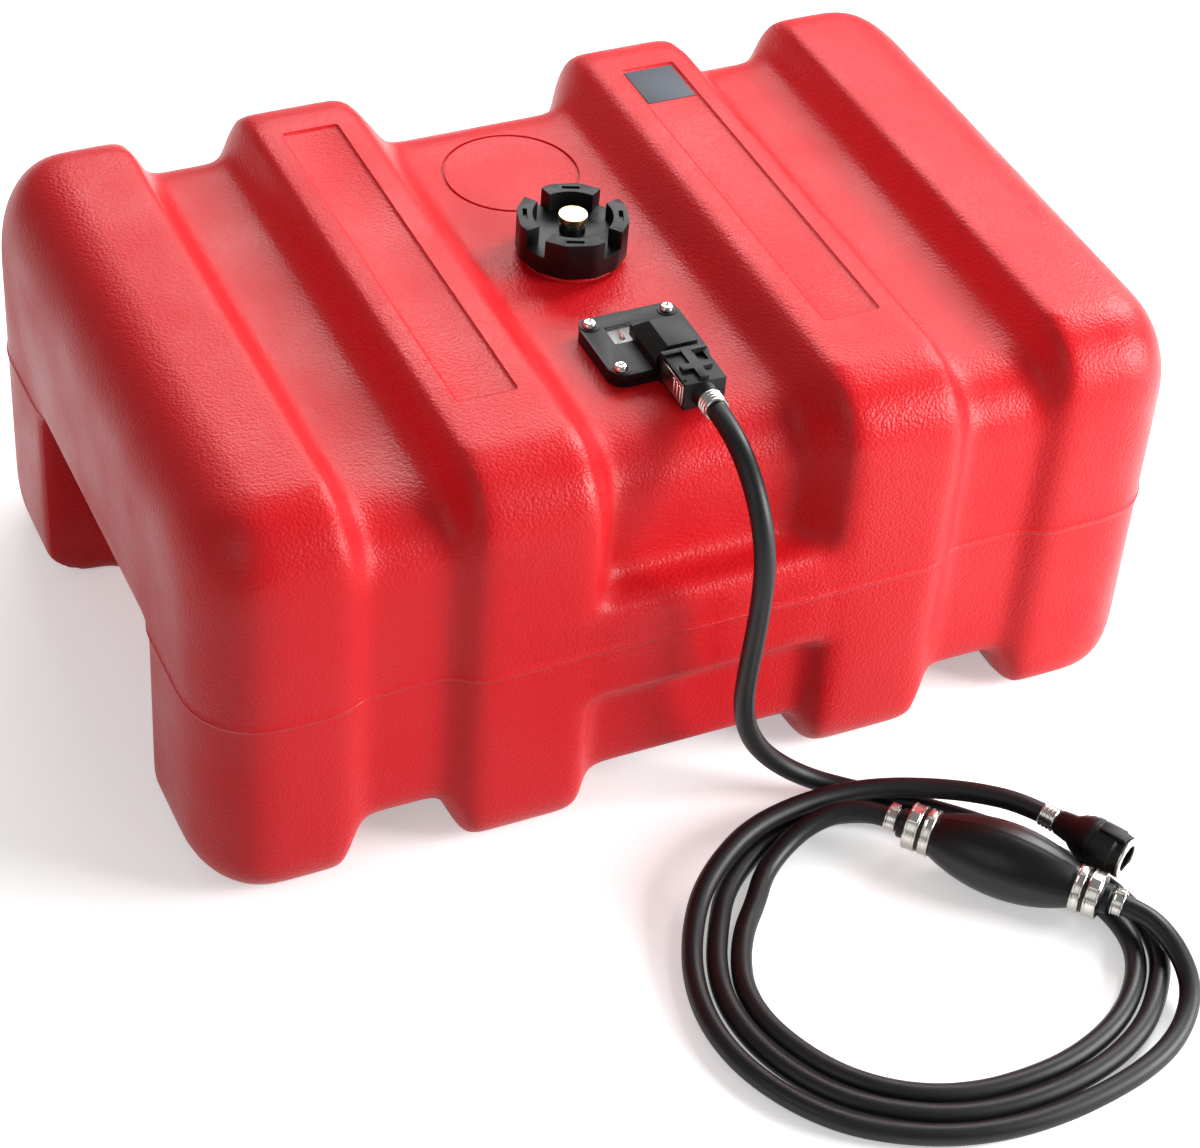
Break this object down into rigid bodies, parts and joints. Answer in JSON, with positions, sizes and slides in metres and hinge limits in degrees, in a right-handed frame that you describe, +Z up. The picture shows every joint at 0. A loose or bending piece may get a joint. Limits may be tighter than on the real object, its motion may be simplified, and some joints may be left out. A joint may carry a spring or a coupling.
{
  "type": "outboard fuel tank",
  "caption": "Portable ribbed fuel tank for an outboard engine, with a vented filler cap, outlet with gauge, and a fuel line with primer bulb.",
  "frame": {"origin": "centre of the tank's footprint on the ground, fuel line not counted", "axes": "+X along the tank's length, +Y towards the back, the filler cap is behind the outlet, +Z up"},
  "size_m": [0.62, 0.7382, 0.2777],
  "materials": {
    "tank_plastic": "fine leather-like moulded grain, satin",
    "black_plastic": "satin moulded",
    "rubber": "matt",
    "hose_rubber": "extruded, satin",
    "bulb_rubber": "moulded, semi-gloss",
    "steel": "bright stamped",
    "brass": "turned",
    "dial_white": "printed",
    "clear_lens": "clear",
    "pointer_red": "satin",
    "float_plastic": "foamed"
  },
  "bodies": {
    "tank": {"tank_shell": "tank_plastic", "outlet_gasket": "rubber", "outlet_head": "black_plastic", "outlet_screws": "steel", "outlet_nipple": "brass", "gauge_dial": "dial_white", "gauge_lens": "clear_lens", "pickup_tube": "black_plastic", "pickup_strainer": "steel", "float_bracket": "black_plastic", "float_pivot": "steel", "tank_connector": "black_plastic", "latch_pin": "steel", "connector_seal": "rubber", "tank_ferrule": "steel", "tank_hose": "hose_rubber", "hose_loops": "hose_rubber", "primer_bulb": "bulb_rubber", "inlet_fitting": "black_plastic", "inlet_check_valve": "brass", "inlet_bands": "steel", "inlet_clamp": "steel", "outlet_fitting": "black_plastic", "outlet_check_valve": "brass", "outlet_bands": "steel", "outlet_clamp": "steel", "engine_hose": "hose_rubber", "engine_ferrule": "steel", "engine_connector": "black_plastic", "engine_valve": "brass", "engine_seal": "rubber", "engine_face": "steel"},
    "cap_thread": {"cap_gasket": "rubber"},
    "cap": {"filler_cap": "black_plastic", "vent_spring": "steel"},
    "vent": {"vent_button": "brass", "vent_valve": "rubber"},
    "float_arm": {"float_arm": "steel", "float": "float_plastic"},
    "needle": {"gauge_pointer": "pointer_red"},
    "tank_latch": {"connector_latch": "steel"}
  },
  "joints": [
    {"name": "cap_spin", "type": "hinge", "parent": "cap_thread", "child": "cap", "pos_m": [0, 0.012, 0.26], "axis": [0, 0, 1], "range_deg": [0, 540]},
    {"name": "cap_lift", "type": "slide", "parent": "tank", "child": "cap_thread", "axis": [0, 0, 1], "range_m": [0, 0.009]},
    {"name": "vent_press", "type": "slide", "parent": "cap", "child": "vent", "axis": [0, 0, -1], "range_m": [0, 0.003], "stiffness_N_per_m": 400, "deforming": ["vent_spring"]},
    {"name": "float_swing", "type": "hinge", "parent": "tank", "child": "float_arm", "pos_m": [-0.0095, -0.0925, 0.14], "axis": [1, 0, 0], "range_deg": [0, 100]},
    {"name": "needle_turn", "type": "hinge", "parent": "tank", "child": "needle", "pos_m": [-0.0095, -0.0835, 0.254], "axis": [0, 0, 1], "range_deg": [0, 100]},
    {"name": "tank_latch_swing", "type": "hinge", "parent": "tank", "child": "tank_latch", "pos_m": [-0.0034, -0.153, 0.262], "axis": [0, 0, 1], "range_deg": [0, 12], "stiffness_Nm_per_rad": 0.02}
  ],
  "couplings": [
    {"joint": "cap_lift", "follows": "cap_spin", "m_per_rad": 0.00095493},
    {"joint": "needle_turn", "follows": "float_swing", "ratio": 1}
  ]
}
